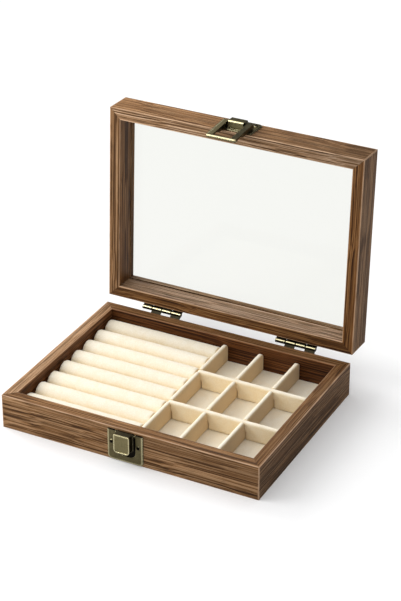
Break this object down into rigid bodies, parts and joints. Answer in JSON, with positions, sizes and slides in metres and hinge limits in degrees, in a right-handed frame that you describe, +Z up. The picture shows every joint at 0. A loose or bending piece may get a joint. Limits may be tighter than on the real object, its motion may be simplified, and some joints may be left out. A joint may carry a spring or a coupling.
{
  "type": "ring display box",
  "caption": "Wooden jewellery box with padded ring rolls, velvet compartments, a hinged glass-topped lid and a hook-and-loop catch.",
  "frame": {"origin": "centre of the underside of the base, in the plane that rests on the table", "axes": "+X to the right along the front, +Y to the hinged back, +Z up"},
  "size_m": [0.2, 0.191, 0.1884],
  "materials": {
    "walnut": "satin, straight grain",
    "board": "raw fibreboard",
    "felt": "thin brown felt",
    "velvet_board": "ivory velvet over card",
    "velvet_roll": "ivory velvet over foam",
    "glass": "clear",
    "antique_brass": "antiqued, rubbed bright on the edges"
  },
  "bodies": {
    "base": {"base_front_rail": "walnut", "base_back_rail": "walnut", "base_left_rail": "walnut", "base_right_rail": "walnut", "bottom_board": "board", "underside_felt": "felt", "compartment_floor": "velvet_board", "roll_board": "velvet_board", "long_divider_left": "velvet_board", "long_divider_middle": "velvet_board", "long_divider_right": "velvet_board", "cross_divider_front": "velvet_board", "cross_divider_back": "velvet_board", "ring_roll_1": "velvet_roll", "ring_roll_2": "velvet_roll", "ring_roll_3": "velvet_roll", "ring_roll_4": "velvet_roll", "ring_roll_5": "velvet_roll", "ring_roll_6": "velvet_roll", "ring_roll_7": "velvet_roll", "ring_roll_8": "velvet_roll", "left_hinge_base_leaf": "antique_brass", "left_hinge_pin": "antique_brass", "right_hinge_base_leaf": "antique_brass", "right_hinge_pin": "antique_brass", "base_leaf_screws": "antique_brass", "catch_plate": "antique_brass", "catch_screws": "antique_brass"},
    "lid": {"lid_front_rail": "walnut", "lid_back_rail": "walnut", "lid_left_rail": "walnut", "lid_right_rail": "walnut", "lid_leaf_screws": "antique_brass", "glass_pane": "glass", "left_hinge_lid_leaf": "antique_brass", "right_hinge_lid_leaf": "antique_brass", "hasp_plate": "antique_brass", "hasp_screws": "antique_brass", "hasp_pin": "antique_brass"},
    "hasp_loop": {"hasp_loop": "antique_brass"}
  },
  "joints": [
    {"name": "lid_hinge", "type": "hinge", "parent": "base", "child": "lid", "pos_m": [0, 0.079, 0.0278], "axis": [1, 0, 0], "range_deg": [0, 93]},
    {"name": "hasp_swing", "type": "hinge", "parent": "lid", "child": "hasp_loop", "pos_m": [-0.001, 0.09444, 0.18491], "axis": [-1, 0, 0], "range_deg": [0, 160]}
  ]
}
